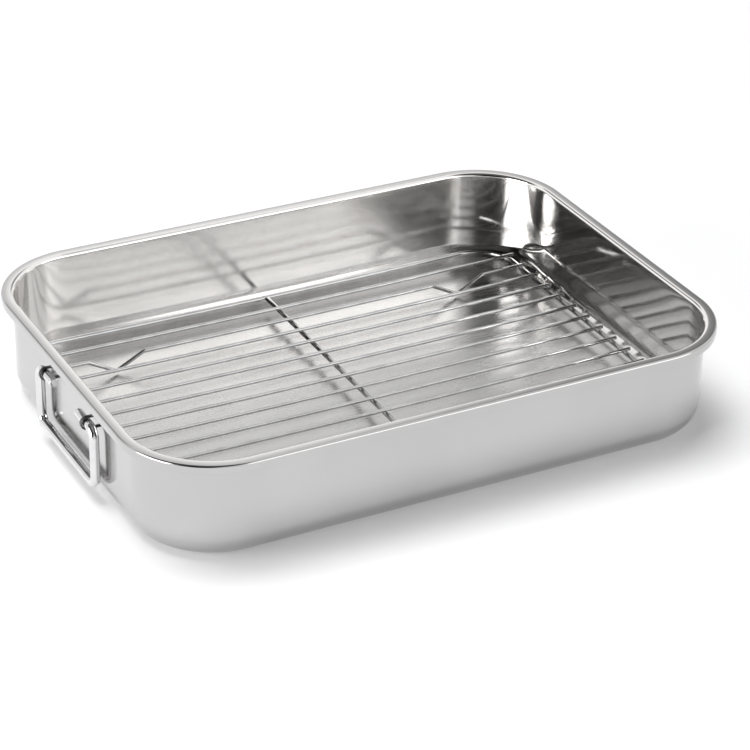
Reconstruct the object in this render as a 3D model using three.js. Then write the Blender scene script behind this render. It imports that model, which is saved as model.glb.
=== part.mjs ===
// Roasting pan with a drop handle at each end and a loose wire rack inside.
// Millimetres, +Z up, X along the pan, origin at the middle of the pan's underside.
import * as THREE from 'three';

// Pan, drawn from one sheet of stainless steel
const panLength = 400; // over the rim
const panWidth = 296; // over the rim
const panHeight = 69;
const sheet = 1; // thickness of the steel
const rimCornerRadius = 60; // the rim's outer edge, seen from above
const rimOverhang = 7; // how far the rim stands out from the wall
const lipHeight = 5.5; // the rim's turned-down edge
const lipBend = 1.5; // outer radius where the rim turns down
const mouthBend = 2.5; // radius where the wall turns out into the rim
const bottomBend = 15; // outer radius between the wall and the bottom

// Handles, each bent from one round wire and hanging down
const handleWire = 6; // diameter
const handleWidth = 87; // from leg to leg, middle to middle
const handleOffset = -4; // from the middle of the wall along Y, the handles sit a little to the front
const handleDrop = 18.5; // from the rim's top down to the pivot
const gripHeight = 12.5; // from the table up to the grip's middle
const handleWallGap = 2; // between the hanging wire and the wall
const handleTopBend = 7; // middle line radius at the top of a leg
const handleGripBend = 6; // middle line radius at the ends of the grip
const handleTail = 13.5; // how far the wire's ends reach past their eyes

// Eyes, small staples welded to the wall, in which the handles turn
const eyeFromLeg = 10.5; // from the middle of a leg in to the middle of its eye
const eyeWidth = 2.4; // along the pivot
const eyeStock = 1.2; // thickness of the staple's steel
const pivotClearance = 0.3; // between the eye and the handle's wire

// Rack, a closed frame with bars welded on top of it and one wire across below them
const frameWire = 3.2; // diameter of the frame and the cross wire
const barWire = 2.5; // diameter of the bars
const barCount = 14;
const sideBarGap = 22.6; // from the frame's long wires in to the first and last bar, middle to middle
const barHeight = 13.2; // from the pan's floor up to the bars' middle at their ends
const barOverhang = 2.5; // how far the bars reach past the middle of the frame's end wires
const rackSag = 1.5; // how much lower the rack is halfway along than at its ends
const rackEndGap = 11.8; // between the frame and the pan's inner wall at each end
const rackSideGap = 4.8; // the same at the front and the back
const rackCornerGap = 2.3; // the same at the round corners
const legFromEnd = 53.8; // from a bar's end to the foot of its first leg
const legSpread = 39; // width of a V-shaped leg where it leaves the bar
const legBend = 3; // middle line radius at a leg's three turns
const legBarPlace = 2; // the legs are on this bar, counted from the front and from the back

// Fits and roundness
const seatGap = 0.3; // between welded or resting pieces
const cornerSteps = 8; // facets in a corner of the pan or the frame
const bendSteps = 4; // facets in a wire's bend
const sagStretch = 60; // longest straight stretch along a sagging wire
const handleSides = 10; // facets round a handle's wire
const rackSides = 8; // facets round a rack wire
const edgeSteps = 3; // facets in the small bends of the rim
const bottomSteps = 5; // facets in the bend between the wall and the bottom

// Looks
const panColour = 0xc6c7c9;
const handleColour = 0xd6d7d9;
const eyeColour = 0x77787a;
const rackColour = 0xcfd0d2;
const satin = 0.3; // roughness of the sheet
const bright = 0.2; // roughness of the eyes
const polished = 0.1; // roughness of the wires

const point = (x, y, z) => new THREE.Vector3(x, y, z);
const quarterTurn = Math.PI / 2;

function steel(colour, roughness) {
  return new THREE.MeshStandardMaterial({ color: colour, roughness, metalness: 1 });
}

function piece(name, geometry, material) {
  const mesh = new THREE.Mesh(geometry, material);
  mesh.name = name;
  return mesh;
}

// A rectangle with round corners, anticlockwise from above.
function roundedRectangle(halfLength, halfWidth, radius) {
  const corners = [[1, 1], [-1, 1], [-1, -1], [1, -1]];
  return corners.flatMap(([sideX, sideY], corner) =>
    Array.from({ length: cornerSteps + 1 }, (_, step) => {
      const angle = (corner + step / cornerSteps) * quarterTurn;
      return new THREE.Vector2(
        sideX * (halfLength - radius) + radius * Math.cos(angle),
        sideY * (halfWidth - radius) + radius * Math.sin(angle),
      );
    }),
  );
}

// A wire's middle line, straight from point to point, with one section of the wire at each point.
class WireLine extends THREE.Curve {
  constructor(points, closed = false) {
    super();
    this.points = points;
    this.closed = closed;
  }

  getPoint(share, target = new THREE.Vector3()) {
    const last = this.points.length - 1;
    const place = THREE.MathUtils.clamp(share, 0, 1) * last;
    const before = Math.min(Math.floor(place), last - 1);
    return target.lerpVectors(this.points[before], this.points[before + 1], place - before);
  }

  getPointAt(share, target) {
    return this.getPoint(share, target);
  }

  // A section faces midway between the two stretches that meet at its point.
  getTangentAt(share, target = new THREE.Vector3()) {
    const last = this.points.length - 1;
    const here = Math.round(share * last);
    const stretch = (from) => this.points[from + 1].clone().sub(this.points[from]).normalize();
    const firstBefore = this.closed ? last - 1 : 0;
    const lastAfter = this.closed ? 0 : last - 1;
    const before = stretch(here > 0 ? here - 1 : firstBefore);
    const after = stretch(here < last ? here : lastAfter);
    return target.addVectors(before, after).normalize();
  }
}

// A round wire with flat ends along a line of points.
function openWire(points, diameter, sides) {
  const section = new THREE.Shape(
    Array.from({ length: sides }, (_, side) => {
      const angle = (2 * Math.PI * side) / sides;
      return new THREE.Vector2(Math.cos(angle), Math.sin(angle)).multiplyScalar(diameter / 2);
    }),
  );
  return new THREE.ExtrudeGeometry(section, {
    steps: points.length - 1,
    extrudePath: new WireLine(points),
  });
}

// A round wire whose two ends are joined.
function closedWire(points, diameter, sides) {
  const line = new WireLine([...points, points[0]], true);
  return new THREE.TubeGeometry(line, points.length, diameter / 2, sides, true);
}

// The points of a line through corners, given as [corner, radius], each turn rounded to its radius.
function bentLine(corners) {
  return corners.flatMap(([corner, radius], place) => {
    if (radius === 0) return [corner];
    const into = corner.clone().sub(corners[place - 1][0]).normalize();
    const out = corners[place + 1][0].clone().sub(corner).normalize();
    const turn = into.angleTo(out);
    const start = corner.clone().addScaledVector(into, -radius * Math.tan(turn / 2));
    const inward = out.clone().addScaledVector(into, -Math.cos(turn)).normalize();
    return Array.from({ length: bendSteps + 1 }, (_, step) => {
      const angle = (turn * step) / bendSteps;
      return start.clone()
        .addScaledVector(into, radius * Math.sin(angle))
        .addScaledVector(inward, radius * (1 - Math.cos(angle)));
    });
  });
}

// Pan
const wallInset = rimOverhang; // the wall's outer face, in from the rim's edge
const innerInset = wallInset + sheet; // the wall's inner face
const innerBend = bottomBend - sheet;

// A quarter arc of the pan's section, as [inset, height] pairs.
function sectionArc(centreInset, centreHeight, radius, fromAngle, steps) {
  return Array.from({ length: steps + 1 }, (_, step) => {
    const angle = fromAngle + (quarterTurn * step) / steps;
    return [centreInset + radius * Math.cos(angle), centreHeight + radius * Math.sin(angle)];
  });
}

// A quarter arc from the wall down to the flat bottom's edge, on one face of the sheet.
function bottomArc(faceInset, faceHeight, radius) {
  return sectionArc(faceInset + radius, faceHeight + radius, radius, 2 * quarterTurn, bottomSteps);
}

// The pan's section as [inset from the rim's edge, height] pairs: up the outside, round the lip
// and down the inside.
function panSection() {
  const hiddenBend = mouthBend - sheet;
  const underRim = panHeight - sheet;
  const outsideBottom = bottomArc(wallInset, 0, bottomBend);
  const underMouth = sectionArc(wallInset - hiddenBend, underRim - hiddenBend, hiddenBend, 0, edgeSteps);
  const lipTop = sectionArc(lipBend, panHeight - lipBend, lipBend, quarterTurn, edgeSteps);
  const mouth = sectionArc(innerInset - mouthBend, panHeight - mouthBend, mouthBend, 0, edgeSteps);
  const insideBottom = bottomArc(innerInset, sheet, innerBend);
  return [
    ...outsideBottom.reverse(),
    ...underMouth,
    [sheet, underRim],
    [sheet, panHeight - lipHeight],
    [0, panHeight - lipHeight],
    ...lipTop.reverse(),
    ...mouth.reverse(),
    ...insideBottom,
  ];
}

// A closed sheet that follows the section all round the pan, with a flat bottom inside and outside.
function panShell() {
  const rings = panSection().map(([inset, height]) =>
    roundedRectangle(panLength / 2 - inset, panWidth / 2 - inset, rimCornerRadius - inset)
      .map((place) => point(place.x, place.y, height)));
  const around = rings[0].length;
  const faces = [];
  for (let ring = 0; ring + 1 < rings.length; ring += 1) {
    for (let place = 0; place < around; place += 1) {
      const next = (place + 1) % around;
      const [a, b] = [ring * around + place, ring * around + next];
      faces.push(a, b, b + around, a, b + around, a + around);
    }
  }
  const flat = THREE.ShapeUtils.triangulateShape(rings[0].map(({ x, y }) => new THREE.Vector2(x, y)), []);
  const insideStart = (rings.length - 1) * around;
  for (const [a, b, c] of flat) {
    faces.push(c, b, a);
    faces.push(insideStart + a, insideStart + b, insideStart + c);
  }
  const shell = new THREE.BufferGeometry().setFromPoints(rings.flat());
  shell.setIndex(faces);
  shell.computeVertexNormals();
  return shell;
}

// Handles and eyes, built for the end at +X and turned about Z for the other end
const wallFace = panLength / 2 - wallInset;
const pivotFromWall = handleWallGap + handleWire / 2;
const pivotX = wallFace + pivotFromWall;
const pivotHeight = panHeight - handleDrop;
const eyeY = handleWidth / 2 - eyeFromLeg;

function handleGeometry(middleY) {
  const legY = handleWidth / 2;
  const tailY = eyeY - handleTail;
  const halfWire = (side) => [
    [point(pivotX, middleY + side * tailY, pivotHeight), 0],
    [point(pivotX, middleY + side * legY, pivotHeight), handleTopBend],
    [point(pivotX, middleY + side * legY, gripHeight), handleGripBend],
  ];
  return openWire(bentLine([...halfWire(1), ...halfWire(-1).reverse()]), handleWire, handleSides);
}

// A staple bent round the pivot, with both feet on the wall.
function eyeGeometry(middleY) {
  const inner = handleWire / 2 + pivotClearance;
  const outer = inner + eyeStock;
  const staple = new THREE.Shape();
  staple.moveTo(seatGap, -outer);
  staple.lineTo(pivotFromWall, -outer);
  staple.absarc(pivotFromWall, 0, outer, -quarterTurn, quarterTurn, false);
  staple.lineTo(seatGap, outer);
  staple.lineTo(seatGap, inner);
  staple.lineTo(pivotFromWall, inner);
  staple.absarc(pivotFromWall, 0, inner, quarterTurn, -quarterTurn, true);
  staple.lineTo(seatGap, -inner);
  staple.closePath();
  const geometry = new THREE.ExtrudeGeometry(staple, {
    depth: eyeWidth,
    bevelEnabled: false,
    curveSegments: cornerSteps,
  });
  geometry.rotateX(quarterTurn);
  geometry.translate(wallFace, middleY + eyeWidth / 2, pivotHeight);
  return geometry;
}

// The half turn of the end at -X reverses Y, so the offset is reversed with it.
function panEnd(name, turn, eyeNames) {
  const end = new THREE.Group();
  end.rotation.z = turn;
  const offset = Math.cos(turn) * handleOffset;
  end.add(piece(`${name}_handle`, handleGeometry(offset), steel(handleColour, polished)));
  eyeNames.forEach((eyeName, place) => {
    const middleY = offset + (place === 0 ? eyeY : -eyeY);
    end.add(piece(`${name}_handle_eye_${eyeName}`, eyeGeometry(middleY), steel(eyeColour, bright)));
  });
  return end;
}

// Rack
const barZ = sheet + barHeight;
const frameZ = barZ - (barWire + frameWire) / 2 - seatGap;
const footZ = sheet + seatGap + barWire / 2;

// What the pan's bottom bend takes from the room inside at a height.
function bendInset(height) {
  const below = Math.max(sheet + innerBend - height, 0);
  return innerBend - Math.sqrt(innerBend ** 2 - below ** 2);
}

const roomInset = innerInset + bendInset(frameZ - frameWire / 2);
const frameEndInset = roomInset + rackEndGap + frameWire / 2;
const frameSideInset = roomInset + rackSideGap + frameWire / 2;
const frameHalfLength = panLength / 2 - frameEndInset;
const frameHalfWidth = panWidth / 2 - frameSideInset;
const barReach = frameHalfLength + barOverhang;
const firstBarY = sideBarGap - frameHalfWidth;
const barPitch = (-2 * firstBarY) / (barCount - 1);

// The frame's corners are as round as it takes to stay clear of the pan's corners.
function frameCornerRadius() {
  const tightest = 2 * frameWire;
  const endReach = rimCornerRadius - frameEndInset;
  const sideReach = rimCornerRadius - frameSideInset;
  const cornerReach = rimCornerRadius - roomInset - rackCornerGap - frameWire / 2;
  const diagonal = Math.sqrt(2 * (cornerReach - endReach) * (cornerReach - sideReach));
  return Math.max(tightest, endReach + sideReach - cornerReach - diagonal);
}

// A rack wire's height at a place along the rack: the sag is a parabola with its lowest point halfway.
const sagged = (height, x) => height - rackSag * (1 - (x / barReach) ** 2);

// Points along a sagging bar from one x to another.
function barStretch(fromX, toX, y) {
  const stretches = Math.ceil((toX - fromX) / sagStretch);
  return Array.from({ length: stretches + 1 }, (_, step) => {
    const x = THREE.MathUtils.lerp(fromX, toX, step / stretches);
    return point(x, y, sagged(barZ, x));
  });
}

function frameGeometry() {
  const plan = roundedRectangle(frameHalfLength, frameHalfWidth, frameCornerRadius());
  const points = plan.flatMap((from, place) => {
    const to = plan[(place + 1) % plan.length];
    const stretches = Math.ceil(from.distanceTo(to) / sagStretch);
    return Array.from({ length: stretches }, (_, step) => from.clone().lerp(to, step / stretches));
  });
  const line = points.map(({ x, y }) => point(x, y, sagged(frameZ, x)));
  return closedWire(line, frameWire, rackSides);
}

function crossWireGeometry() {
  const reach = frameHalfWidth - frameWire / 2 - seatGap;
  const height = sagged(frameZ, 0);
  return openWire([point(0, -reach, height), point(0, reach, height)], frameWire, rackSides);
}

function plainBarGeometry(y) {
  return openWire(barStretch(-barReach, barReach, y), barWire, rackSides);
}

// A bar that goes down to the pan's floor and up again at two places.
function leggedBarGeometry(y) {
  const footX = barReach - legFromEnd;
  const halfSpread = legSpread / 2;
  const plain = (place) => [place, 0];
  const bent = (place) => [place, legBend];
  const foot = (x) => bent(point(x, y, footZ));
  const firstRun = barStretch(-barReach, -footX - halfSpread, y);
  const middleRun = barStretch(-footX + halfSpread, footX - halfSpread, y);
  const lastRun = barStretch(footX + halfSpread, barReach, y);
  const corners = [
    ...firstRun.slice(0, -1).map(plain),
    bent(firstRun.at(-1)),
    foot(-footX),
    bent(middleRun[0]),
    ...middleRun.slice(1, -1).map(plain),
    bent(middleRun.at(-1)),
    foot(footX),
    bent(lastRun[0]),
    ...lastRun.slice(1).map(plain),
  ];
  return openWire(bentLine(corners), barWire, rackSides);
}

function rack() {
  const group = new THREE.Group();
  group.add(piece('rack_frame', frameGeometry(), steel(rackColour, polished)));
  group.add(piece('rack_cross_wire', crossWireGeometry(), steel(rackColour, polished)));
  for (let bar = 1; bar <= barCount; bar += 1) {
    const y = firstBarY + (bar - 1) * barPitch;
    const hasLegs = bar === legBarPlace || bar === barCount + 1 - legBarPlace;
    const geometry = hasLegs ? leggedBarGeometry(y) : plainBarGeometry(y);
    group.add(piece(`rack_bar_${String(bar).padStart(2, '0')}`, geometry, steel(rackColour, polished)));
  }
  return group;
}

const roastingPan = new THREE.Group();
roastingPan.add(piece('pan_body', panShell(), steel(panColour, satin)));
roastingPan.add(panEnd('left', Math.PI, ['front', 'back']));
roastingPan.add(panEnd('right', 0, ['back', 'front']));
roastingPan.add(rack());

export default roastingPan;
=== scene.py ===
# %% [markdown]
# # A roasting pan with a wire rack
#
# The real thing comes apart into four: a pan pressed from one sheet of stainless steel, a wire
# handle at each end that hangs in two welded eyes, and a rack of welded wires that only stands in
# the pan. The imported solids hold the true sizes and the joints, with few faces. This lesson puts a
# fine surface in the place of each solid, gives it a steel finish, and lights it softly.

import bpy
import numpy as np
from mathutils import Matrix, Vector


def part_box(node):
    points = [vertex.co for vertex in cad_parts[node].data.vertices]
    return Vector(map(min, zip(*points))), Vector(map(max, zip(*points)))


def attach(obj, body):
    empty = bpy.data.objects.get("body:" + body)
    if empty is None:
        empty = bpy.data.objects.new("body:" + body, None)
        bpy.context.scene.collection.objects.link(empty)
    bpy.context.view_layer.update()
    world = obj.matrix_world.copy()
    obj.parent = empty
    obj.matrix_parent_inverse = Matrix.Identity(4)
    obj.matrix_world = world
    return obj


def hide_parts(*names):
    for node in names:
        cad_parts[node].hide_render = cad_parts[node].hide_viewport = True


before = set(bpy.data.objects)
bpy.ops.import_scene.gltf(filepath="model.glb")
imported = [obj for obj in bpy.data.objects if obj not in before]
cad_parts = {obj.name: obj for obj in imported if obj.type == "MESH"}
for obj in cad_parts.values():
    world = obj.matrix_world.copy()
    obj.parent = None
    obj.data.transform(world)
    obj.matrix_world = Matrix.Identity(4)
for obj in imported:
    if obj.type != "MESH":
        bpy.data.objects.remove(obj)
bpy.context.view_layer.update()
MM = 0.001
CM3 = 1e-6

# %% [markdown]
# ## Points, faces and pieces
#
# Blender's own sweep and lathe tools would do, but a surface is easy to see through as a grid:
# rows of points, each row one step further along, and a quad between every four neighbours. All
# pieces below are such grids, so one helper joins the points and one makes the object.

# %% Grid helpers
def unit(vectors):
    """Each vector divided by its own length, and a vector of no length left as it is."""
    length = np.linalg.norm(vectors, axis=-1, keepdims=True)
    return vectors / np.where(length > 0, length, 1)


def grid_faces(rows, columns, close_rows=False):
    """Quads of a grid whose columns run all the way round: (i, j), (i, j+1), (i+1, j+1), (i+1, j)."""
    i = np.arange(rows if close_rows else rows - 1)[:, None]
    j = np.arange(columns)[None, :]
    i_next, j_next = (i + 1) % rows, (j + 1) % columns
    corners = [i * columns + j, i * columns + j_next, i_next * columns + j_next, i_next * columns + j]
    return np.stack(np.broadcast_arrays(*corners), axis=-1).reshape(-1, 4)


def fan_faces(ring_start, columns, pole, flip=False):
    """Triangles from a ring of points to one pole point, turned round where flip is set."""
    j = np.arange(columns)
    j_next = (j + 1) % columns
    order = [ring_start + j_next, ring_start + j] if flip else [ring_start + j, ring_start + j_next]
    return np.stack([*order, np.full(columns, pole)], axis=-1)


def capped_grid(grid, first_pole, last_pole):
    """A grid of rings closed by a pole point at each end, as points and faces that point outwards."""
    rows, columns = grid.shape[:2]
    count = rows * columns
    points = np.vstack([grid.reshape(-1, 3), first_pole, last_pole])
    first_fan = fan_faces(0, columns, count, flip=True)
    last_fan = fan_faces(count - columns, columns, count + 1)
    return points, [grid_faces(rows, columns), first_fan, last_fan]


def enclosed_volume(points, faces):
    """The sum of a . (b x c) / 6 over triangles, which is positive if the faces point outwards."""
    triangles = [f[:, [0, k, k + 1]] for f in faces for k in range(1, f.shape[1] - 1)]
    a, b, c = np.moveaxis(points[np.vstack(triangles)], 1, 0)
    return float((a * np.cross(b, c)).sum() / 6)


def add_piece(name, body, slot, points, faces, material, *nodes):
    """A smooth mesh object in the row frame that rides on a body and stands for the named solids."""
    volume = enclosed_volume(points, faces)
    faces = [f[:, ::-1] for f in faces] if volume < 0 else faces
    mesh = bpy.data.meshes.new(name)
    mesh.from_pydata(points.tolist(), [], [face for f in faces for face in f.tolist()])
    mesh.shade_smooth()
    mesh.materials.append(material)
    piece = bpy.data.objects.new(name, mesh)
    bpy.context.scene.collection.objects.link(piece)
    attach(piece, body)
    if nodes:
        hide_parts(*nodes)
    print(f"{name}: {len(mesh.polygons)} faces, {abs(volume) / CM3:.2f} cm3")
    return piece


print("grid helpers ready: quads, fans, capped grids and pieces")

# %% [markdown]
# ## Wires
#
# Handles, rack bars and eyes are all one idea: a section carried along a path. Each path here lies
# in a plane or close to one, so the section needs no twisting frame: one fixed reference direction
# crossed with the path's direction gives a steady sideways direction. The cut ends of a wire are
# never razor sharp, so the last rings shrink along a quarter circle before the flat end.

# %% Sweep helpers
def bent_path(corners, radii, steps=8):
    """A line through corners with each turn rounded to its radius.

    An arc starts radius * tan(turn / 2) before its corner. Its point at angle a is that start, plus
    radius * sin a along the way in, plus radius * (1 - cos a) towards the way out.
    """
    corners = np.asarray(corners, float)
    radii = np.asarray(radii, float)
    along = unit(np.diff(corners, axis=0))
    into = np.vstack([along[:1], along])
    out = np.vstack([along, along[-1:]])
    turn = np.arccos(np.clip((into * out).sum(axis=1), -1, 1))
    start = corners - into * (radii * np.tan(turn / 2))[:, None]
    inward = unit(out - into * np.cos(turn)[:, None])
    angle = (turn[:, None] * np.linspace(0, 1, steps + 1))[..., None]
    bow = into[:, None] * np.sin(angle) + inward[:, None] * (1 - np.cos(angle))
    arcs = start[:, None] + radii[:, None, None] * bow
    keep = (radii[:, None] > 0) | (np.arange(steps + 1) == 0)
    return arcs[keep]


def path_directions(path, closed=False):
    """At each path point, the direction midway between the stretches that meet there."""
    ahead = unit(np.roll(path, -1, axis=0) - path)
    if not closed:
        ahead[-1] = ahead[-2]
    behind = np.roll(ahead, 1, axis=0)
    if not closed:
        behind[0] = ahead[0]
    return unit(ahead + behind)


def sweep(path, reference, section, scale=None, closed=False):
    """point(i, k) = path(i) + scale(i) * (section_x(k) * side(i) + section_y(k) * rise(i)).

    Side is the reference direction crossed with the path's direction, and rise is square to both.
    """
    direction = path_directions(path, closed)
    side = unit(np.cross(reference, direction))
    rise = np.cross(direction, side)
    scale = np.ones(len(path)) if scale is None else scale
    offset = section[:, 0, None] * side[:, None] + section[:, 1, None] * rise[:, None]
    return path[:, None] + scale[:, None, None] * offset


def round_section(diameter, sides):
    """A circle as (cos a, sin a) times the radius."""
    angle = np.linspace(0, 2 * np.pi, sides, endpoint=False)
    return np.stack([np.cos(angle), np.sin(angle)], axis=-1) * diameter / 2


def softened_ends(path, edge, half_thickness, steps=4):
    """A path with extra points at both ends, and the scale that rounds the ends' edges.

    At angle a of a quarter circle the ring lies edge * (1 - cos a) in from the end, and is
    edge * (1 - sin a) smaller than the full section.
    """
    angle = np.linspace(0, np.pi / 2, steps + 1)[:, None]
    direction = unit(np.diff(path, axis=0))
    inset = edge * (1 - np.cos(angle))
    shrink = 1 - edge * (1 - np.sin(angle[:, 0])) / half_thickness
    first = path[0] + direction[0] * inset
    last = (path[-1] - direction[-1] * inset)[::-1]
    scale = np.concatenate([shrink, np.ones(len(path) - 2), shrink[::-1]])
    return np.vstack([first, path[1:-1], last]), scale


def open_wire(path, reference, diameter, sides, edge):
    """A round wire with two cut ends, as points and faces."""
    full_path, scale = softened_ends(path, edge, diameter / 2)
    grid = sweep(full_path, reference, round_section(diameter, sides), scale)
    return capped_grid(grid, path[0], path[-1])


def closed_wire(path, reference, diameter, sides):
    """A round wire whose path comes back to its start, as points and faces."""
    grid = sweep(path, reference, round_section(diameter, sides), closed=True)
    return grid.reshape(-1, 3), [grid_faces(*grid.shape[:2], close_rows=True)]


def beads(centres, radii, rows=6, columns=12):
    """Weld beads: each is an ellipsoid, centre + radii * (cos a * cos b, sin a * cos b, sin b)."""
    rise = np.linspace(-np.pi / 2, np.pi / 2, rows + 2)[1:-1, None]
    turn = np.linspace(0, 2 * np.pi, columns, endpoint=False)[None, :]
    ball = np.stack(np.broadcast_arrays(
        np.cos(turn) * np.cos(rise), np.sin(turn) * np.cos(rise), np.sin(rise)), axis=-1)
    points, faces = capped_grid(ball, [0, 0, -1], [0, 0, 1])
    places = np.asarray(centres)[:, None] + points * np.asarray(radii)
    starts = np.arange(len(centres))[:, None, None] * len(points)
    return places.reshape(-1, 3), [(f + starts).reshape(-1, f.shape[1]) for f in faces]


print("sweep helpers ready: paths, sections, wires and beads")

# %% [markdown]
# ## Effects that the steel shares
#
# Three things happen to steel: it keeps the fine lines of the rollers and brushes, it is cloudy where
# hands and cloths have been, and a sheet as open as the pan's collects hair scratches. Each effect is
# a small node group with its own inputs, built once, so a finish only says how strong and how large
# it is. The wires use the first two and the pan uses all three.

# %% Node helpers
def add_node(tree, kind, inputs=None, **settings):
    """A shader node with its settings; an input takes a plain value or another node's output."""
    made = tree.nodes.new(kind)
    for name, value in settings.items():
        setattr(made, name, value)
    for name, value in (inputs or {}).items():
        if isinstance(value, bpy.types.NodeSocket):
            tree.links.new(value, made.inputs[name])
        else:
            made.inputs[name].default_value = value
    return made


def calculate(tree, operation, *values):
    """The output of a Math node on plain values or other nodes' outputs."""
    made = add_node(tree, "ShaderNodeMath", dict(enumerate(values)), operation=operation)
    return made.outputs[0]


def effect_group(name, inputs, outputs):
    """An empty shader group with named sockets, as its tree, its input node and its output node."""
    tree = bpy.data.node_groups.new(name, "ShaderNodeTree")
    for socket, kind in inputs.items():
        tree.interface.new_socket(socket, in_out="INPUT", socket_type=kind)
    for socket, kind in outputs.items():
        tree.interface.new_socket(socket, in_out="OUTPUT", socket_type=kind)
    return tree, tree.nodes.new("NodeGroupInput"), tree.nodes.new("NodeGroupOutput")


def add_effect(tree, group, inputs):
    """One placed copy of an effect group with its own values."""
    return add_node(tree, "ShaderNodeGroup", inputs, node_tree=group)


print("node helpers ready: nodes, sums and effect groups")

# %% Grain, clouds and scratches
VECTOR, FLOAT = "NodeSocketVector", "NodeSocketFloat"
NOISE_MIDDLE = 0.5
CLOUD_FROM, CLOUD_FULL = 0.3, 0.7
SCRATCH_TURN = (0.5, 0.35, 0.6)
SCRATCH_STRETCH = (1.0, 9.0, 4.0)
SCRATCH_WIDTH = 0.006
SCRATCH_FROM, SCRATCH_FULL = 0.52, 0.6


def make_grain():
    """Noise drawn out into lines: few waves along the first two axes, many across the third."""
    tree, given, result = effect_group(
        "drawn_grain", {"Place": VECTOR, "Along": FLOAT, "Across": FLOAT}, {"Grain": FLOAT})
    along, across = given.outputs["Along"], given.outputs["Across"]
    waves = add_node(tree, "ShaderNodeCombineXYZ", {0: along, 1: along, 2: across})
    place = add_node(
        tree, "ShaderNodeVectorMath",
        {0: given.outputs["Place"], 1: waves.outputs[0]}, operation="MULTIPLY")
    noise = add_node(
        tree, "ShaderNodeTexNoise",
        {"Vector": place.outputs[0], "Scale": 1.0, "Detail": 3.0, "Roughness": 0.65})
    tree.links.new(noise.outputs["Fac"], result.inputs["Grain"])
    return tree


def make_clouds():
    """Soft patches of noise, spread to the full range from 0 to 1."""
    tree, given, result = effect_group(
        "handling_clouds", {"Place": VECTOR, "Waves": FLOAT}, {"Cloud": FLOAT})
    place, waves = given.outputs["Place"], given.outputs["Waves"]
    noise = add_node(
        tree, "ShaderNodeTexNoise",
        {"Vector": place, "Scale": waves, "Detail": 2.0, "Distortion": 0.4})
    spread = add_node(
        tree, "ShaderNodeMapRange",
        {"Value": noise.outputs["Fac"], "From Min": CLOUD_FROM, "From Max": CLOUD_FULL},
        interpolation_type="SMOOTHSTEP")
    tree.links.new(spread.outputs["Result"], result.inputs["Cloud"])
    return tree


def make_scratches():
    """Thin lines where a bent, stretched noise crosses its middle value, broken by a second noise."""
    tree, given, result = effect_group(
        "hair_scratches", {"Place": VECTOR, "Waves": FLOAT}, {"Scratch": FLOAT})
    place, waves = given.outputs["Place"], given.outputs["Waves"]
    slanted = add_node(
        tree, "ShaderNodeMapping",
        {"Vector": place, "Rotation": SCRATCH_TURN, "Scale": SCRATCH_STRETCH})
    lines = add_node(
        tree, "ShaderNodeTexNoise",
        {"Vector": slanted.outputs[0], "Scale": waves, "Detail": 1.0, "Distortion": 0.3})
    off_middle = calculate(tree, "SUBTRACT", lines.outputs["Fac"], NOISE_MIDDLE)
    from_middle = calculate(tree, "ABSOLUTE", off_middle)
    thin = add_node(
        tree, "ShaderNodeMapRange",
        {"Value": from_middle, "From Min": 0.0, "From Max": SCRATCH_WIDTH, "To Min": 1.0, "To Max": 0.0})
    breaks = add_node(tree, "ShaderNodeTexNoise", {"Vector": place, "Scale": waves})
    shown = add_node(
        tree, "ShaderNodeMapRange",
        {"Value": breaks.outputs["Fac"], "From Min": SCRATCH_FROM, "From Max": SCRATCH_FULL})
    broken = calculate(tree, "MULTIPLY", thin.outputs[0], shown.outputs[0])
    tree.links.new(broken, result.inputs["Scratch"])
    return tree


grain_group = make_grain()
clouds_group = make_clouds()
scratches_group = make_scratches()
print("effects:", [group.name for group in bpy.data.node_groups])

# %% [markdown]
# ## Steel finishes
#
# Stainless steel has hardly any colour of its own: what is seen is the room, blurred by the finish.
# So a finish is mostly its roughness, with two close tones that change from place to place. Painted
# pictures would do as well, but noises that read a piece's own place need no unwrapping and stay
# fine however near the camera comes.

# %% Finish helpers
def new_finish(name):
    """A material with an empty metal shader, as the material, its node tree and the shader."""
    material = bpy.data.materials.new(name)
    material.use_nodes = True
    tree = material.node_tree
    shader = tree.nodes["Principled BSDF"]
    shader.inputs["Metallic"].default_value = 1.0
    return material, tree, shader


def blend(tree, first, second, share):
    """The first colour at share 0 and the second at share 1; each is a colour or a node's output."""
    mix = add_node(tree, "ShaderNodeMix", {"Factor": share, "A": first, "B": second}, data_type="RGBA")
    return mix.outputs["Result"]


def two_tones(tree, dark, light, share):
    """A colour between two close tones of steel."""
    return blend(tree, (*dark, 1.0), (*light, 1.0), share)


def surface_attribute(tree, name, output="Fac"):
    """A value or vector that the piece's own mesh carries at its points."""
    return add_node(tree, "ShaderNodeAttribute", attribute_name=name).outputs[output]


def between(tree, low, high, share):
    """low at share 0 and high at share 1, as a value that changes over the surface."""
    made = add_node(tree, "ShaderNodeMapRange", {"Value": share, "To Min": low, "To Max": high})
    return made.outputs["Result"]


print("finish helpers ready: tones, attributes and ranges")

# %% [markdown]
# The pan has four finishes on one sheet. Outside it is satin. Inside, the long walls are finely
# brushed, the ends and the corners are buffed brighter, and the bottom is worn duller by use. Four
# materials would meet at hard borders, so one material mixes them, and attributes of the mesh say
# how far each point belongs to which. The grain runs round the walls and along the flat bottom.

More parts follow.
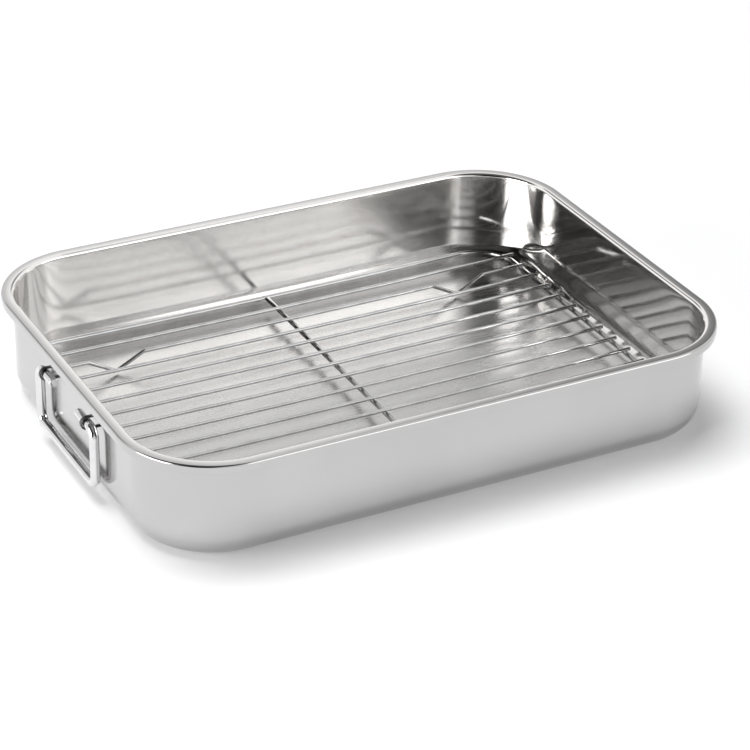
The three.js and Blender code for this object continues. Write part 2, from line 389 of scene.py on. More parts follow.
# %% Pan finish
SATIN_DARK, SATIN_LIGHT = (0.5, 0.495, 0.492), (0.525, 0.52, 0.517)
POLISHED_DARK, POLISHED_LIGHT = (0.86, 0.845, 0.83), (0.885, 0.87, 0.855)
WORN_DARK, WORN_LIGHT = (0.65, 0.645, 0.64), (0.7, 0.695, 0.69)
ROUGH_OUTSIDE, ROUGH_LONG_WALL, ROUGH_END_WALL, ROUGH_FLOOR = 0.1, 0.12, 0.05, 0.23
PAN_GRAIN_WAVES = {"Along": 14.0, "Across": 1500.0}
PAN_CLOUD_WAVES, PAN_SCRATCH_WAVES = 14.0, 16.0
PAN_CLOUD_HAZE, PAN_GRAIN_HAZE, PAN_SCRATCH_HAZE = 0.03, 0.04, 0.08
SCRATCH_DEPTH = -0.6
QUARTER_TURN = (np.pi / 2, 0, 0)


def make_pan_steel():
    """Satin outside; inside brushed long walls, buffed ends and corners, and a worn bottom."""
    material, tree, shader = new_finish("pan_satin_steel")
    own_place = add_node(tree, "ShaderNodeTexCoord").outputs["Object"]
    wall_place = surface_attribute(tree, "grain_place", "Vector")
    inside = surface_attribute(tree, "inside")
    floor = surface_attribute(tree, "floor")
    turned = add_node(tree, "ShaderNodeMapping", {"Vector": own_place, "Rotation": QUARTER_TURN})
    floor_place = turned.outputs[0]
    wall_grain = add_effect(tree, grain_group, {"Place": wall_place, **PAN_GRAIN_WAVES})
    floor_grain = add_effect(tree, grain_group, {"Place": floor_place, **PAN_GRAIN_WAVES})
    grain = add_node(
        tree, "ShaderNodeMix",
        {"Factor": floor, "A": wall_grain.outputs["Grain"], "B": floor_grain.outputs["Grain"]})
    cloudy = add_effect(tree, clouds_group, {"Place": own_place, "Waves": PAN_CLOUD_WAVES})
    clouds = cloudy.outputs["Cloud"]
    scratched = add_effect(tree, scratches_group, {"Place": own_place, "Waves": PAN_SCRATCH_WAVES})
    scratches = scratched.outputs["Scratch"]
    polished = two_tones(tree, POLISHED_DARK, POLISHED_LIGHT, clouds)
    inner_tone = blend(tree, polished, two_tones(tree, WORN_DARK, WORN_LIGHT, clouds), floor)
    tone = blend(tree, two_tones(tree, SATIN_DARK, SATIN_LIGHT, clouds), inner_tone, inside)
    tree.links.new(tone, shader.inputs["Base Color"])
    walls = between(tree, ROUGH_LONG_WALL, ROUGH_END_WALL, surface_attribute(tree, "end_wall"))
    inner = between(tree, walls, ROUGH_FLOOR, floor)
    plain = between(tree, ROUGH_OUTSIDE, inner, inside)
    uneven = calculate(tree, "MULTIPLY_ADD", clouds, PAN_CLOUD_HAZE, plain)
    lined = calculate(tree, "MULTIPLY_ADD", grain.outputs["Result"], PAN_GRAIN_HAZE, uneven)
    rough = calculate(tree, "MULTIPLY_ADD", scratches, PAN_SCRATCH_HAZE, lined)
    tree.links.new(rough, shader.inputs["Roughness"])
    height = calculate(tree, "MULTIPLY_ADD", scratches, SCRATCH_DEPTH, grain.outputs["Result"])
    bump = add_node(tree, "ShaderNodeBump", {"Strength": 0.12, "Distance": 0.02 * MM, "Height": height})
    tree.links.new(bump.outputs["Normal"], shader.inputs["Normal"])
    return material


pan_steel = make_pan_steel()
print("finish:", pan_steel.name)

# %% [markdown]
# Handles and rack are drawn wire, polished or plated until they are almost mirrors. The dark and
# bright lines along such a wire are the room, squeezed together by its round shape, so the finish
# needs only plain tones and a low roughness, and the lights and the surround do the rest. The eye
# strips are nearly black. The weld beads are darker and duller, because welding heat leaves a skin
# of oxide.

# %% Wire finishes
WIRE_CLOUD_WAVES = 60.0
WIRE_GRAIN_WAVES = {"Along": 900.0, "Across": 900.0}
WIRE_CLOUD_HAZE, WIRE_GRAIN_HAZE = 0.05, 0.04


def grey(tone):
    """A neutral colour."""
    return (tone, tone, tone)


def make_wire_steel(name, dark, light, roughness):
    """Two tones and a roughness, hazier where the wire was handled, with fine grain all over."""
    material, tree, shader = new_finish(name)
    own_place = add_node(tree, "ShaderNodeTexCoord").outputs["Object"]
    cloudy = add_effect(tree, clouds_group, {"Place": own_place, "Waves": WIRE_CLOUD_WAVES})
    clouds = cloudy.outputs["Cloud"]
    grain = add_effect(tree, grain_group, {"Place": own_place, **WIRE_GRAIN_WAVES}).outputs["Grain"]
    tree.links.new(two_tones(tree, grey(dark), grey(light), clouds), shader.inputs["Base Color"])
    hazy = calculate(tree, "MULTIPLY_ADD", clouds, WIRE_CLOUD_HAZE, roughness)
    rough = calculate(tree, "MULTIPLY_ADD", grain, WIRE_GRAIN_HAZE, hazy)
    tree.links.new(rough, shader.inputs["Roughness"])
    bump = add_node(tree, "ShaderNodeBump", {"Strength": 0.1, "Distance": 0.01 * MM, "Height": grain})
    tree.links.new(bump.outputs["Normal"], shader.inputs["Normal"])
    return material


handle_steel = make_wire_steel("handle_bright_wire", dark=0.66, light=0.72, roughness=0.02)
eye_steel = make_wire_steel("eye_dark_strip", dark=0.08, light=0.13, roughness=0.14)
rack_steel = make_wire_steel("rack_plated_wire", dark=0.44, light=0.54, roughness=0.04)
frame_steel = make_wire_steel("rack_frame_wire", dark=0.48, light=0.56, roughness=0.04)
weld_steel = make_wire_steel("weld_bead_steel", dark=0.2, light=0.3, roughness=0.22)
wire_finishes = (handle_steel, eye_steel, rack_steel, frame_steel, weld_steel)
print("finishes:", [finish.name for finish in wire_finishes])

# %% [markdown]
# ## The pan
#
# A deep-drawn pan is one sheet: seen in a cut, it runs from the flat bottom through a round bend up
# the wall, over the rim and down the turned-down lip, and back along its other face. That cut is a
# profile of (how far in from the rim's edge, how high) pairs. Carrying it round a rectangle with
# round corners gives the whole pan, and moving in from the edge is simple there: the corner's centre
# stays and only the radius shrinks.

# %% Pan sizes
half_length, half_width, pan_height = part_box("pan_body")[1]
sheet = 1.0 * MM
rim_corner_radius = 60 * MM
wall_inset = 7 * MM
lip_height = 5.5 * MM
lip_bend = 1.5 * MM
mouth_bend = 2.5 * MM
bottom_bend = 15 * MM
lip_edge = 0.3 * MM
inner_inset = wall_inset + sheet
inner_bend = bottom_bend - sheet
print(f"pan {2 * half_length:.3f} x {2 * half_width:.3f} x {pan_height:.3f} m")

# %% Pan profile
def arc(centre, radius, from_degrees, to_degrees, steps):
    """Part of a circle in a number of steps: centre + radius * (cos a, sin a)."""
    angle = np.radians(np.linspace(from_degrees, to_degrees, steps + 1))
    return np.asarray(centre) + radius * np.stack([np.cos(angle), np.sin(angle)], axis=-1)


def run(start, end, steps):
    """Evenly spaced points between two places, without the two places themselves."""
    share = np.linspace(0, 1, steps + 1)[1:-1, None]
    return np.asarray(start) * (1 - share) + np.asarray(end) * share


def pan_profile():
    """The outer face from the flat bottom to the lip's lower edge, and the inner face back down."""
    under_rim = pan_height - sheet
    hidden_bend = mouth_bend - sheet
    lip_low = pan_height - lip_height
    outer_bend = arc((wall_inset + bottom_bend, bottom_bend), bottom_bend, 270, 180, 16)
    under_mouth = arc((wall_inset - hidden_bend, under_rim - hidden_bend), hidden_bend, 0, 90, 6)
    lip_inner = arc((lip_bend, pan_height - lip_bend), lip_bend - sheet, 90, 180, 4)
    edge_inner = arc((sheet - lip_edge, lip_low + lip_edge), lip_edge, 0, -90, 4)
    edge_outer = arc((lip_edge, lip_low + lip_edge), lip_edge, -90, -180, 4)
    lip_outer = arc((lip_bend, pan_height - lip_bend), lip_bend, 180, 90, 8)
    mouth = arc((inner_inset - mouth_bend, pan_height - mouth_bend), mouth_bend, 90, 0, 10)
    inner_arc = arc((inner_inset + inner_bend, sheet + inner_bend), inner_bend, 180, 270, 18)
    outer_face = [
        outer_bend, run(outer_bend[-1], under_mouth[0], 14), under_mouth,
        run(under_mouth[-1], lip_inner[0], 3), lip_inner,
        run(lip_inner[-1], edge_inner[0], 3), edge_inner, edge_outer,
    ]
    inner_face = [
        run(edge_outer[-1], lip_outer[0], 3), lip_outer, run(lip_outer[-1], mouth[0], 4), mouth,
        run(mouth[-1], inner_arc[0], 14), inner_arc,
    ]
    return np.vstack(outer_face), np.vstack(inner_face)


outer_face, inner_face = pan_profile()
profile = np.vstack([outer_face, inner_face])
print(f"profile: {len(profile)} points")

# %% Pan outline
def rounded_outline(reach_x, reach_y, radius, corner_steps, straight_steps):
    """A rectangle with round corners, anticlockwise, as corner centres and outward directions.

    A point of the outline is centre + radius * direction. Along a straight side the direction
    stays and the centre slides from one corner's centre to the next.
    """
    signs = np.array([[1, 1], [-1, 1], [-1, -1], [1, -1]])
    corners = signs * np.array([reach_x - radius, reach_y - radius])
    centres, angles = [], []
    for corner, (here, after) in enumerate(zip(corners, np.roll(corners, -1, axis=0))):
        turn = (corner + np.linspace(0, 1, corner_steps + 1)) * np.pi / 2
        slide = run(here, after, straight_steps)
        centres += [np.repeat(here[None], corner_steps + 1, axis=0), slide]
        angles += [turn, np.full(len(slide), turn[-1])]
    angles = np.concatenate(angles)
    return np.vstack(centres), np.stack([np.cos(angles), np.sin(angles)], axis=-1)


outline_centres, outline_directions = rounded_outline(
    half_length, half_width, rim_corner_radius, corner_steps=36, straight_steps=40)
print(f"outline: {len(outline_centres)} points")

# %% Pan surface
FLAT_STEPS = 14


def pan_rings(insets, heights):
    """point(t, s) = centre(s) + (corner radius - inset(t)) * direction(s), at height(t)."""
    spread = (rim_corner_radius - insets)[:, None, None]
    plan = outline_centres[None] + spread * outline_directions[None]
    level = np.broadcast_to(heights[:, None, None], (*plan.shape[:2], 1))
    return np.concatenate([plan, level], axis=-1)


def flat_rings(edge_ring, shares):
    """The edge of a flat bottom drawn in towards the middle: edge * share, at the same height."""
    return np.stack([edge_ring * np.array([share, share, 1]) for share in shares])


rings = pan_rings(profile[:, 0], profile[:, 1])
flat_shares = np.linspace(0, 1, FLAT_STEPS + 1)[1:-1]
outer_flat = flat_rings(rings[0], flat_shares)
inner_flat = flat_rings(rings[-1], flat_shares[::-1])
pan_grid = np.concatenate([outer_flat, rings, inner_flat])
print("pan grid:", pan_grid.shape)

# %% [markdown]
# A pressed sheet is never quite flat. Its walls and bottom carry long, shallow waves of about a
# tenth of a millimetre, too little to see as a shape, but enough to make the rack's mirror image
# wander a little, as it does in a real pan. The waves fade out at the rim and at the bends.

# %% Pressing waves
WAVE_HEIGHT = 0.07 * MM
ALONG_X, ALONG_Y, ALONG_SHIFT = 61, 23, 0.7
ACROSS_X, ACROSS_Y = -17, 83
RIPPLE_SHARE, RIPPLE_ALONG, RIPPLE_UP, RIPPLE_SHIFT = 0.6, 1.9, 70, 2.1
WAVES_FULL_ABOVE_BEND = 10 * MM
WAVES_FADE_BELOW_TOP, WAVES_END_BELOW_TOP = 14 * MM, 6 * MM
FLOOR_FADE_POWER = 6


def pressing_waves(grid):
    """sin(along + shift) * cos(across) + share * sin(ripple).

    Along and across are weighted sums of x and y, and ripple is one of along and z.
    """
    x, y, z = np.moveaxis(grid, -1, 0)
    along = x * ALONG_X + y * ALONG_Y
    across = y * ACROSS_Y + x * ACROSS_X
    ripple = along * RIPPLE_ALONG + z * RIPPLE_UP + RIPPLE_SHIFT
    return np.sin(along + ALONG_SHIFT) * np.cos(across) + RIPPLE_SHARE * np.sin(ripple)


def fade(values, low, high):
    """0 up to low, 1 from high on, and a smooth step between."""
    share = np.clip((values - low) / (high - low), 0, 1)
    return share * share * (3 - 2 * share)


def row_values(under, along_profile, floor):
    """One value for each row of the pan's grid: underside, profile from bottom to bottom, floor."""
    return np.concatenate([
        np.full(len(outer_flat), under), along_profile, np.full(len(inner_flat), floor)])


height = pan_grid[..., 2]
above_bend = fade(height, bottom_bend, bottom_bend + WAVES_FULL_ABOVE_BEND)
near_top = fade(height, pan_height - WAVES_FADE_BELOW_TOP, pan_height - WAVES_END_BELOW_TOP)
row_inset = row_values(wall_inset, profile[:, 0], inner_inset)
on_wall = (np.abs(row_inset - wall_inset - sheet / 2) < sheet)[:, None]
wall_mask = above_bend * (1 - near_top) * on_wall
waves = WAVE_HEIGHT * pressing_waves(pan_grid)
outward = np.concatenate([outline_directions, np.zeros((len(outline_directions), 1))], axis=-1)
pan_grid = pan_grid + (waves * wall_mask)[..., None] * outward[None]
floor_fade = 1 - flat_shares[::-1] ** FLOOR_FADE_POWER
row_fade = np.concatenate([np.zeros(len(outer_flat) + len(profile)), floor_fade])
pan_grid[..., 2] += (waves + WAVE_HEIGHT) * row_fade[:, None]
print(f"waves up to {np.abs(waves).max() / MM:.2f} mm")

# %% Pan piece
rows, columns = pan_grid.shape[:2]
bottom_pole = np.zeros(3)
floor_pole = np.array([0, 0, sheet + WAVE_HEIGHT * (1 + pressing_waves(np.array([0, 0, sheet])))])
pan_points, pan_faces = capped_grid(pan_grid, bottom_pole, floor_pole)
pan_sheet = add_piece("pan_sheet", "pan", "pan_steel", pan_points, pan_faces, pan_steel, "pan_body")

# %% [markdown]
# The pan's finish has to know where on the sheet it is. Vertex groups or a painted mask would do,
# but the grid's rows and columns already say it: a row is a height in the cut, and a column is a
# place round the rim. The brushed lines follow the walls, so their place is the way round as a
# point on a circle, which meets itself without a seam, and the way up the cut.

# %% Pan attributes
FLOOR_FULL_HEIGHT, FLOOR_END_HEIGHT = 1 * MM, 8 * MM
END_WALL_FROM, END_WALL_FULL = 0.05, 0.5


def point_values(piece, name, values, kind="FLOAT", field="value"):
    """Values that the mesh carries at its points for its material to read."""
    attribute = piece.data.attributes.new(name, kind, "POINT")
    attribute.data.foreach_set(field, np.asarray(values, np.float32).ravel())


inner_rows = fade(inner_face[:, 0], lip_bend, wall_inset)
row_inside = row_values(0, np.concatenate([np.zeros(len(outer_face)), inner_rows]), 1)
row_floor = row_values(1, 1 - fade(profile[:, 1], FLOOR_FULL_HEIGHT, FLOOR_END_HEIGHT), 1)
end_columns = fade(np.abs(outline_directions[:, 0]), END_WALL_FROM, END_WALL_FULL)
point_values(pan_sheet, "inside", np.append(np.repeat(row_inside, columns), [0, 1]))
point_values(pan_sheet, "floor", np.append(np.repeat(row_floor, columns), [1, 1]))
point_values(pan_sheet, "end_wall", np.append(np.tile(end_columns, rows), [0, 0]))

profile_steps = np.linalg.norm(np.diff(profile, axis=0), axis=1)
profile_way = np.concatenate([[0], np.cumsum(profile_steps)])
row_way = row_values(0, profile_way, profile_way[-1])
girth_angle = np.linspace(0, 2 * np.pi, columns, endpoint=False)
girth_radius = (half_length + half_width) / 2
circle = girth_radius * np.stack([np.cos(girth_angle), np.sin(girth_angle)], axis=-1)
grain_place = np.concatenate([
    np.broadcast_to(circle[None], (rows, columns, 2)),
    np.broadcast_to(row_way[:, None, None], (rows, columns, 1))], axis=-1)
grain_points = np.vstack([grain_place.reshape(-1, 3), np.zeros((2, 3))])
point_values(pan_sheet, "grain_place", grain_points, "FLOAT_VECTOR", "vector")
print("pan attributes:", pan_sheet.data.attributes.keys())

# %% [markdown]
# ## Handles
#
# Each handle is one thick wire: a grip along the wall, two legs, and ends bent in towards each other
# so that they run through the eyes and stick out a little. A curve with a bevel would give the tube,
# but the path is only six corners with round turns, so the sweep above is just as short and gives
# control over the cut ends.

# %% Handle pieces
handle_wire = 6 * MM
handle_top_bend = 7 * MM
handle_grip_bend = 6 * MM
handle_tail = 13.5 * MM
handle_cut_edge = 0.6 * MM
handle_sides = 32


def handle_path(node, eye):
    """From one free end through both eyes' line, down a leg, along the grip and back up."""
    low, high = (np.array(corner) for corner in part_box(node))
    x, middle_y = (low[0] + high[0]) / 2, (low[1] + high[1]) / 2
    leg_y = high[1] - handle_wire / 2
    pivot_z, grip_z = high[2] - handle_wire / 2, low[2] + handle_wire / 2
    eye_y = np.mean([corner[1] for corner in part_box(eye)])
    tail_y = eye_y - handle_tail
    half = [(x, tail_y, pivot_z), (x, leg_y, pivot_z), (x, leg_y, grip_z)]
    other = [(x, 2 * middle_y - y, z) for x, y, z in reversed(half)]
    radii = [0, handle_top_bend, handle_grip_bend]
    return bent_path(half + other, radii + radii[::-1], steps=14)


for side in ("left", "right"):
    path = handle_path(f"{side}_handle", f"{side}_handle_eye_back")
    points, faces = open_wire(path, (1, 0, 0), handle_wire, handle_sides, handle_cut_edge)
    name, node = f"{side}_handle_wire", f"{side}_handle"
    add_piece(name, f"handle_{side}", "handle_steel", points, faces, handle_steel, node)

# %% [markdown]
# ## Eyes
#
# A handle hangs in two staples of steel strip, bent round the wire and welded to the wall by both
# feet. The path of a staple is a straight foot, a half circle and another foot. Its section is a
# small rectangle with soft edges. Where a foot meets the wall, a weld leaves a low bead. The strip
# is drawn nearly black. A bevelled curve would do, but its flat section tends to twist in the bow.

# %% Eye pieces
eye_width = 2.4 * MM
eye_stock = 1.2 * MM
eye_edge = 0.35 * MM
eye_bead = np.array([0.5, 1.4, 0.9]) * MM


def strip_section(thickness, width, edge, steps=4):
    """A rectangle with round corners: the corner's centre + edge * (cos a, sin a), corner by corner."""
    centres, directions = rounded_outline(
        thickness / 2, width / 2, edge, corner_steps=steps, straight_steps=2)
    return centres + edge * directions


def staple_path(x_wall, x_pivot, y, z, radius, steps=24):
    """From the wall out along the top, half round the pivot, and back to the wall below."""
    outward = np.sign(x_pivot - x_wall)
    angle = np.linspace(np.pi / 2, -np.pi / 2, steps + 1)
    bow_x = x_pivot + outward * radius * np.cos(angle)
    bow_z = z + radius * np.sin(angle)
    x = np.concatenate([[x_wall], bow_x, [x_wall]])
    z = np.concatenate([[z + radius], bow_z, [z - radius]])
    return np.stack([x, np.full(len(x), y), z], axis=-1)


wall_face = half_length - wall_inset
for side, outward in (("left", -1), ("right", 1)):
    pivot_low, pivot_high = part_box(f"{side}_handle")
    pivot_x = (pivot_low[0] + pivot_high[0]) / 2
    pivot_z = pivot_high[2] - handle_wire / 2
    for place in ("front", "back"):
        node = f"{side}_handle_eye_{place}"
        low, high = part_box(node)
        middle_y = (low[1] + high[1]) / 2
        radius = (high[2] - low[2] - eye_stock) / 2
        path = staple_path(outward * wall_face, pivot_x, middle_y, pivot_z, radius)
        grid = sweep(path, (0, 1, 0), strip_section(eye_stock, eye_width, eye_edge))
        points, faces = capped_grid(grid, path[0], path[-1])
        add_piece(f"{node}_staple", "pan", "eye_steel", points, faces, eye_steel, node)
        feet = [path[0], path[-1]]
        bead_points, bead_faces = beads(feet, eye_bead, rows=8, columns=16)
        add_piece(f"{node}_welds", "pan", "eye_steel", bead_points, bead_faces, weld_steel)

# %% [markdown]
# ## The rack
#
# The rack is a closed frame of wire, a row of thinner bars welded on top of it, and one wire across
# below the bars that keeps them apart. Its own weight and its press tool leave it slightly hollow
# along its length, so every height follows one parabola: lowest halfway, highest at the bars' ends.
# Two bars dip down to the pan's floor and up again at two places each, and those dips are its legs.

# %% Rack sizes
bar_wire = 2.5 * MM
frame_wire = 3.2 * MM
frame_corner_radius = 28.06 * MM
leg_from_end = 53.8 * MM
leg_spread = 39 * MM
leg_bend = 3 * MM
cut_edge = 0.35 * MM
bar_sides, frame_sides = 18, 20
rack_bead = np.array([1.3, 1.1, 0.6]) * MM
bar_names = sorted(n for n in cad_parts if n.startswith("rack_bar_"))
bar_low, bar_high = (np.array(corner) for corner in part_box(bar_names[0]))
bar_reach = bar_high[0]
bar_end_z = bar_high[2] - bar_wire / 2
rack_sag = bar_high[2] - bar_low[2] - bar_wire
print(f"{len(bar_names)} bars, {2 * bar_reach:.4f} m long, sagging {rack_sag / MM:.2f} mm")

# %% Rack paths
def sagged(end_height, x):
    """The height at x of a rack wire: its height at the bars' ends less a parabola."""
    return end_height - rack_sag * (1 - (x / bar_reach) ** 2)


def bar_line(from_x, to_x, y, spacing=8 * MM):
    """Points of a sagging bar from one place along the rack to another."""
    x = np.linspace(from_x, to_x, int(np.ceil((to_x - from_x) / spacing)) + 1)
    return np.stack([x, np.full(len(x), y), sagged(bar_end_z, x)], axis=-1)


def legged_bar_path(y, foot_z):
    """A bar that leaves its parabola twice, down to a foot and up again, with round turns."""
    foot_x = bar_reach - leg_from_end
    half_spread = leg_spread / 2
    lines = [
        bar_line(-bar_reach, -foot_x - half_spread, y),
        bar_line(-foot_x + half_spread, foot_x - half_spread, y),
        bar_line(foot_x + half_spread, bar_reach, y),
    ]
    feet = [np.array([[-foot_x, y, foot_z]]), np.array([[foot_x, y, foot_z]])]
    corners = np.vstack([lines[0], feet[0], lines[1], feet[1], lines[2]])
    ends = np.cumsum([len(line) for line in (lines[0], feet[0], lines[1], feet[1])])
    radii = np.zeros(len(corners))
    radii[np.concatenate([[n - 1, n] for n in ends])] = leg_bend
    return bent_path(corners, radii, steps=10)


print(f"bars {bar_end_z / MM:.2f} mm high at their ends, {sagged(bar_end_z, 0) / MM:.2f} mm halfway")

# %% Rack bars
bar_places = []
for name in bar_names:
    low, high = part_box(name)
    y = (low[1] + high[1]) / 2
    bar_places.append(y)
    has_legs = high[2] - low[2] > rack_sag + 2 * bar_wire
    path = legged_bar_path(y, low[2] + bar_wire / 2) if has_legs else bar_line(-bar_reach, bar_reach, y)
    points, faces = open_wire(path, (0, 1, 0), bar_wire, bar_sides, cut_edge)
    add_piece(f"{name}_wire", "rack", "rack_steel", points, faces, rack_steel, name)

# %% [markdown]
# The frame is one wire bent to a loop and welded end to end, so its path closes on itself and needs
# no cut ends. The cross wire is a straight piece that butts against the frame on both sides.

# %% Rack frame and cross wire
cross_points = 24
frame_low, frame_high = (np.array(corner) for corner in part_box("rack_frame"))
frame_reach = (frame_high - frame_low) / 2 - frame_wire / 2
frame_middle = (frame_high + frame_low) / 2
frame_end_z = frame_low[2] + frame_wire / 2 + rack_sag
centres, directions = rounded_outline(
    frame_reach[0], frame_reach[1], frame_corner_radius, corner_steps=14, straight_steps=24)
plan = centres + frame_corner_radius * directions + frame_middle[:2]
frame_path = np.column_stack([plan, sagged(frame_end_z, plan[:, 0])])
points, faces = closed_wire(frame_path, (0, 0, 1), frame_wire, frame_sides)
add_piece("rack_frame_wire", "rack", "rack_steel", points, faces, frame_steel, "rack_frame")

cross_z = sagged(frame_end_z, 0)
cross_ends = frame_middle[1] + np.array([-1, 1]) * (frame_reach[1] - frame_wire / 2)
cross_path = np.array([(0, y, cross_z) for y in np.linspace(*cross_ends, cross_points)])
points, faces = open_wire(cross_path, (0, 0, 1), frame_wire, frame_sides, cut_edge)
add_piece("rack_cross_wire_bar", "rack", "rack_steel", points, faces, frame_steel, "rack_cross_wire")

# %% [markdown]
# The wires are joined by spot welds, which squeeze a small bead out of each crossing. They could be
# instances of one ball, but there are few, and as one mesh they count as one piece of the rack.

# %% Rack welds
bar_y = np.array(bar_places)
crossed_x = (-frame_reach[0], 0, frame_reach[0])
weld_x = np.repeat(crossed_x, len(bar_y))
weld_z = sagged(bar_end_z, weld_x) - bar_wire / 2
crossings = np.stack([weld_x, np.tile(bar_y, len(crossed_x)), weld_z], axis=-1)
cross_joints = np.array([(0, y, cross_z) for y in cross_ends])
weld_points, weld_faces = beads(np.vstack([crossings, cross_joints]), rack_bead)
add_piece("rack_weld_beads", "rack", "rack_steel", weld_points, weld_faces, rack_steel)

# %% [markdown]
# ## Floor
#
# The pan stands on white paper. The floor keeps the pan's shadow, and a little light of its own,
# only for rays from the camera and from mirrors, lifts it to white without lighting the pan more. A
# backdrop that curves up would do as well, but the camera looks down and sees no end of the floor.

# %% Floor
FLOOR_REACH = 30.0
FLOOR_DROP = 0.2 * MM
FLOOR_COLOUR = (0.88, 0.88, 0.89, 1.0)
FLOOR_GLOW = 0.2


def make_floor_white():
    """Matt white that keeps shadows, with a little light of its own for camera and mirror rays."""
    material = bpy.data.materials.new("floor_white")
    material.use_nodes = True
    tree = material.node_tree
    tree.nodes.clear()
    matt = add_node(tree, "ShaderNodeBsdfDiffuse", {"Color": FLOOR_COLOUR})
    path = add_node(tree, "ShaderNodeLightPath").outputs
    mirrored = calculate(tree, "MAXIMUM", path["Is Glossy Ray"], path["Is Transmission Ray"])
    seen = calculate(tree, "MAXIMUM", path["Is Camera Ray"], mirrored)
    strength = calculate(tree, "MULTIPLY", seen, FLOOR_GLOW)
    glow = add_node(tree, "ShaderNodeEmission", {"Strength": strength})
    both = add_node(tree, "ShaderNodeAddShader", {0: matt.outputs[0], 1: glow.outputs[0]})
    add_node(tree, "ShaderNodeOutputMaterial", {"Surface": both.outputs[0]})
    return material


floor_corners = FLOOR_REACH * np.array([(-1, -1), (1, -1), (1, 1), (-1, 1)])
floor_mesh = bpy.data.meshes.new("studio_floor")
floor_mesh.from_pydata([(x, y, -FLOOR_DROP) for x, y in floor_corners], [], [(0, 1, 2, 3)])
floor_mesh.materials.append(make_floor_white())
studio_floor = bpy.data.objects.new("studio_floor", floor_mesh)
bpy.context.scene.collection.objects.link(studio_floor)
print(f"floor: {2 * FLOOR_REACH:.0f} m wide")

# %% [markdown]
# ## Camera
#
# The pan is seen from the front, a little to the left and from above, through a long lens that
# hardly narrows its far side. A Track To constraint could aim the camera, but it would leave no
# room for the slight roll, so the camera's three axes are worked out from its angles.

# %% Camera
view_azimuth, view_elevation, view_roll = np.radians([-28.195, 29.155, 1.295])
view_distance = 1701.6 * MM
view_target = np.array([17.7, 7.1, 8.5]) * MM
view_lens, view_sensor = 126.76, 36.0
view_end = 200.0


def placed(right, up, back, place):
    """A matrix whose columns are an object's three axes and its place."""
    columns = np.column_stack([right, up, back, place])
    return Matrix(np.vstack([columns, (0, 0, 0, 1)]).tolist())


def camera_axes():
    """The camera's right, up and backward directions, rolled about its line of sight."""
    back = np.array([
        np.sin(view_azimuth) * np.cos(view_elevation),
        -np.cos(view_azimuth) * np.cos(view_elevation),
        np.sin(view_elevation)])
    right = unit(np.cross((0, 0, 1), back))
    up = np.cross(back, right)
    turn_cos, turn_sin = np.cos(view_roll), np.sin(view_roll)
    return right * turn_cos + up * turn_sin, up * turn_cos - right * turn_sin, back


camera_right, camera_up, camera_back = camera_axes()
camera_place = view_target + camera_back * view_distance
camera_data = bpy.data.cameras.new("studio_camera")
camera_data.lens = view_lens
camera_data.sensor_width = view_sensor
camera_data.clip_end = view_end
camera = bpy.data.objects.new("studio_camera", camera_data)
camera.matrix_world = placed(camera_right, camera_up, camera_back, camera_place)
bpy.context.scene.collection.objects.link(camera)
bpy.context.scene.camera = camera
print("camera at", np.round(camera_place, 3))

# %% [markdown]
# ## Surround
#
# A steel pan shows its room, so the room is most of the picture. Here it is white all round, with a
# dark patch of ceiling and dark gaps at the front, on the right and at the back, as between the
# cloths of a studio. The steel mirrors them as its dark stretches. A picture of a studio could be
# wrapped round the scene, but a patch that is only a direction and a width is easy to move.

# %% World
DOME_LIGHT = 0.15
DARK_PATCHES = {
    "ceiling": {"azimuth": -120, "elevation": 60, "outer": 50, "inner": 40, "shade": 0.1},
    "front": {"azimuth": -138, "elevation": 28, "outer": 26, "inner": 17, "shade": 0.03},
    "right": {"azimuth": 46, "elevation": 30, "outer": 17, "inner": 8, "shade": 0.3},
    "back": {"azimuth": -14, "elevation": 36, "outer": 12, "inner": 8, "shade": 0.1},
}


def heading(azimuth_degrees, elevation_degrees):
    """The direction at an azimuth, turned from +Y towards +X, and at an elevation."""
    azimuth, elevation = np.radians([azimuth_degrees, elevation_degrees])
    level = np.cos(elevation)
    return np.array([level * np.sin(azimuth), level * np.cos(azimuth), np.sin(elevation)])


def dark_patch(tree, direction, azimuth, elevation, outer, inner, shade):
    """1 outside the outer angle from a heading, the shade inside the inner one, a smooth step between.

    The step runs over the cosine of the angle, which is the two directions' dot product.
    """
    aim = tuple(heading(azimuth, elevation))
    near = add_node(tree, "ShaderNodeVectorMath", {0: direction, 1: aim}, operation="DOT_PRODUCT")
    start, full = np.cos(np.radians([outer, inner]))
    step = add_node(
        tree, "ShaderNodeMapRange",
        {"Value": near.outputs["Value"], "From Min": start, "From Max": full,
         "To Min": 1.0, "To Max": shade},
        interpolation_type="SMOOTHSTEP")
    return step.outputs["Result"]


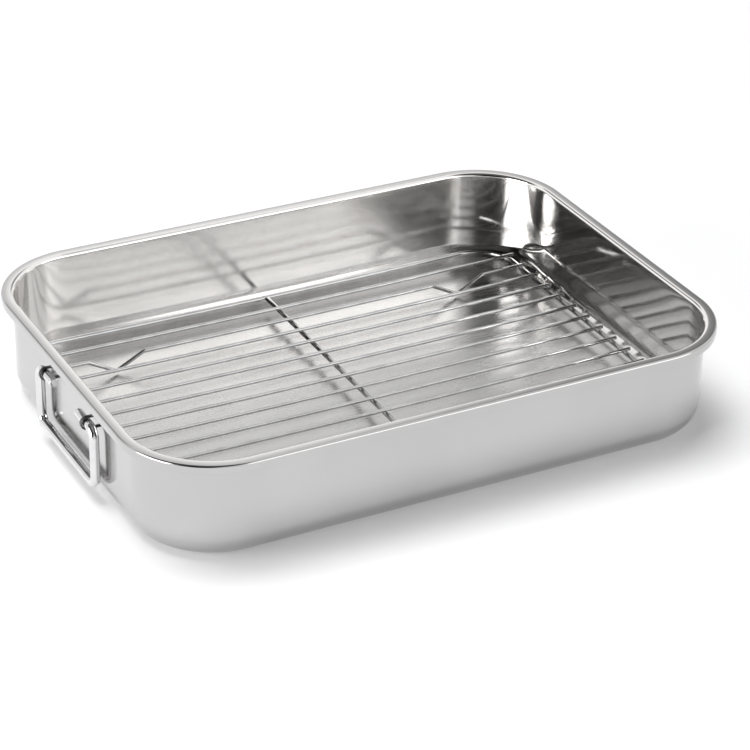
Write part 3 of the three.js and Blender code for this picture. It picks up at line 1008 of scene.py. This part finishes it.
def make_studio_world():
    """A white surround times its dark patches.

    Camera and mirror rays see the white at full strength, and light rays see it at DOME_LIGHT, as
    does a mirror ray that comes from a matt surface. The patches are left out for camera rays, so
    that the background stays white.
    """
    world = bpy.data.worlds.new("studio_surround")
    world.use_nodes = True
    tree = world.node_tree
    tree.nodes.clear()
    direction = add_node(tree, "ShaderNodeTexCoord").outputs["Generated"]
    shade = 1.0
    for patch in DARK_PATCHES.values():
        shade = calculate(tree, "MULTIPLY", shade, dark_patch(tree, direction, **patch))
    path = add_node(tree, "ShaderNodeLightPath").outputs
    shade = calculate(tree, "MAXIMUM", shade, path["Is Camera Ray"])
    seen = calculate(tree, "MAXIMUM", path["Is Glossy Ray"], path["Is Transmission Ray"])
    seen = calculate(tree, "MAXIMUM", path["Is Camera Ray"], seen)
    seen = calculate(tree, "SUBTRACT", seen, path["Diffuse Depth"])
    level = between(tree, DOME_LIGHT, 1.0, seen)
    strength = calculate(tree, "MULTIPLY", level, shade)
    background = add_node(
        tree, "ShaderNodeBackground", {"Color": (1.0, 1.0, 1.0, 1.0), "Strength": strength})
    add_node(tree, "ShaderNodeOutputWorld", {"Surface": background.outputs[0]})
    return world


bpy.context.scene.world = make_studio_world()
print("world:", bpy.context.scene.world.name, "with dark patches:", list(DARK_PATCHES))

# %% [markdown]
# ## Lamps
#
# Three soft boxes do the lighting. The broad one overhead gives the even light and the soft shadow,
# and is kept out of reflections, because a bright square would show on the bottom of the pan. The
# left one brightens the left end with its handle. The front right one is what the back wall and the
# back part of the bottom mirror. Point lamps would leave hard glints on steel as bright as this.

# %% Lamps
MIRROR_STEPS = 8


def add_lamp(name, direction, distance, width, height, radiance):
    """A soft lamp that faces the origin; its power is radiance * pi * area."""
    data = bpy.data.lights.new(name, "AREA")
    data.shape = "RECTANGLE"
    data.size = width
    data.size_y = height
    data.energy = radiance * np.pi * width * height
    lamp = bpy.data.objects.new(name, data)
    back = unit(np.asarray(direction, float))
    right = unit(np.cross((0, 0, 1), back))
    lamp.matrix_world = placed(right, np.cross(back, right), back, back * distance)
    bpy.context.scene.collection.objects.link(lamp)
    return lamp


overhead = add_lamp(
    "overhead_softbox", heading(-34, 75), distance=4.0, width=2.8, height=2.8, radiance=6.0)
overhead.visible_glossy = False
add_lamp("left_softbox", heading(-94, 16), distance=1.6, width=1.0, height=0.8, radiance=6.0)
add_lamp("front_right_softbox", heading(148, 18), distance=1.8, width=1.5, height=0.8, radiance=1.6)
bpy.context.scene.cycles.glossy_bounces = MIRROR_STEPS

# %% [markdown]
# ## View
#
# The picture is shown as it is written, with the plain Standard view.

# %% Finish
bpy.context.scene.view_settings.view_transform = "Standard"
